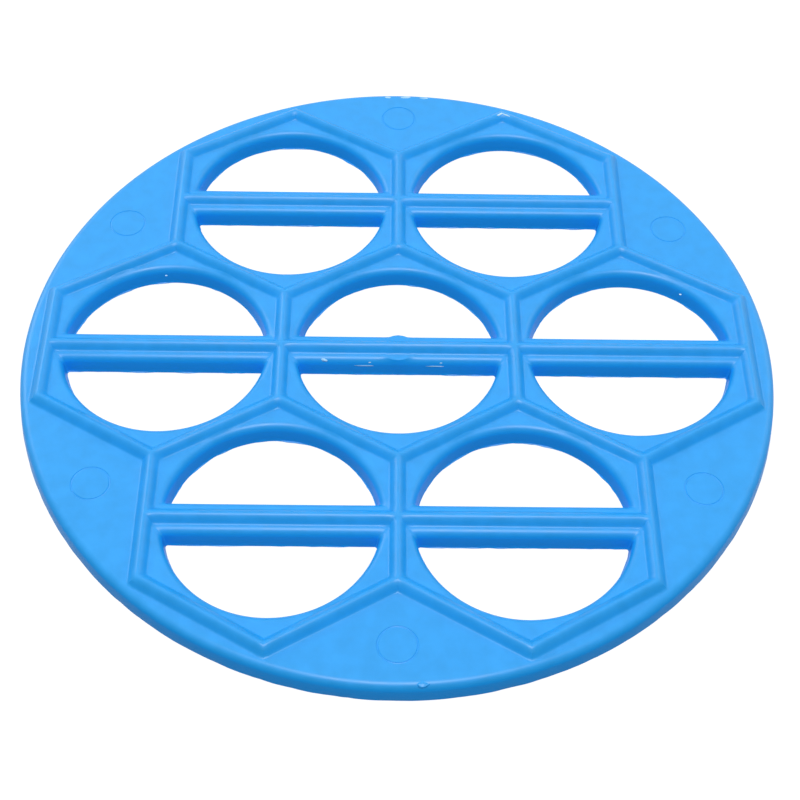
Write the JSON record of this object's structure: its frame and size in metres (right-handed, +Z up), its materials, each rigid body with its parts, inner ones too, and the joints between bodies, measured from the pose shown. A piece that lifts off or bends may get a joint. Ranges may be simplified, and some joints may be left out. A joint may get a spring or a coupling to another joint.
{
  "type": "empanada press",
  "caption": "Round flat moulded plastic dough press with a honeycomb of barred round windows and raised sealing ridges.",
  "frame": {"origin": "centre of the underside, on the surface that the plate rests on", "axes": "+Z up through the plate, towards the sealing ridges; +X along the crossbars; +Y away from the viewer"},
  "size_m": [0.235, 0.235, 0.0084],
  "materials": {
    "blue_polypropylene": "moulded, satin"
  },
  "bodies": {
    "root": {"rim_front": "blue_polypropylene", "rim_front_left": "blue_polypropylene", "rim_rear_left": "blue_polypropylene", "rim_rear": "blue_polypropylene", "rim_rear_right": "blue_polypropylene", "rim_front_right": "blue_polypropylene", "cell_centre": "blue_polypropylene", "cell_right": "blue_polypropylene", "cell_rear_right": "blue_polypropylene", "cell_rear_left": "blue_polypropylene", "cell_left": "blue_polypropylene", "cell_front_left": "blue_polypropylene", "cell_front_right": "blue_polypropylene", "crossbar_centre": "blue_polypropylene", "crossbar_right": "blue_polypropylene", "crossbar_rear_right": "blue_polypropylene", "crossbar_rear_left": "blue_polypropylene", "crossbar_left": "blue_polypropylene", "crossbar_front_left": "blue_polypropylene", "crossbar_front_right": "blue_polypropylene", "ridge_centre_hexagon": "blue_polypropylene", "ridge_spokes": "blue_polypropylene", "ridge_outline": "blue_polypropylene", "crossbar_ridge_centre": "blue_polypropylene", "crossbar_ridge_right": "blue_polypropylene", "crossbar_ridge_rear_right": "blue_polypropylene", "crossbar_ridge_rear_left": "blue_polypropylene", "crossbar_ridge_left": "blue_polypropylene", "crossbar_ridge_front_left": "blue_polypropylene", "crossbar_ridge_front_right": "blue_polypropylene"}
  },
  "joints": []
}
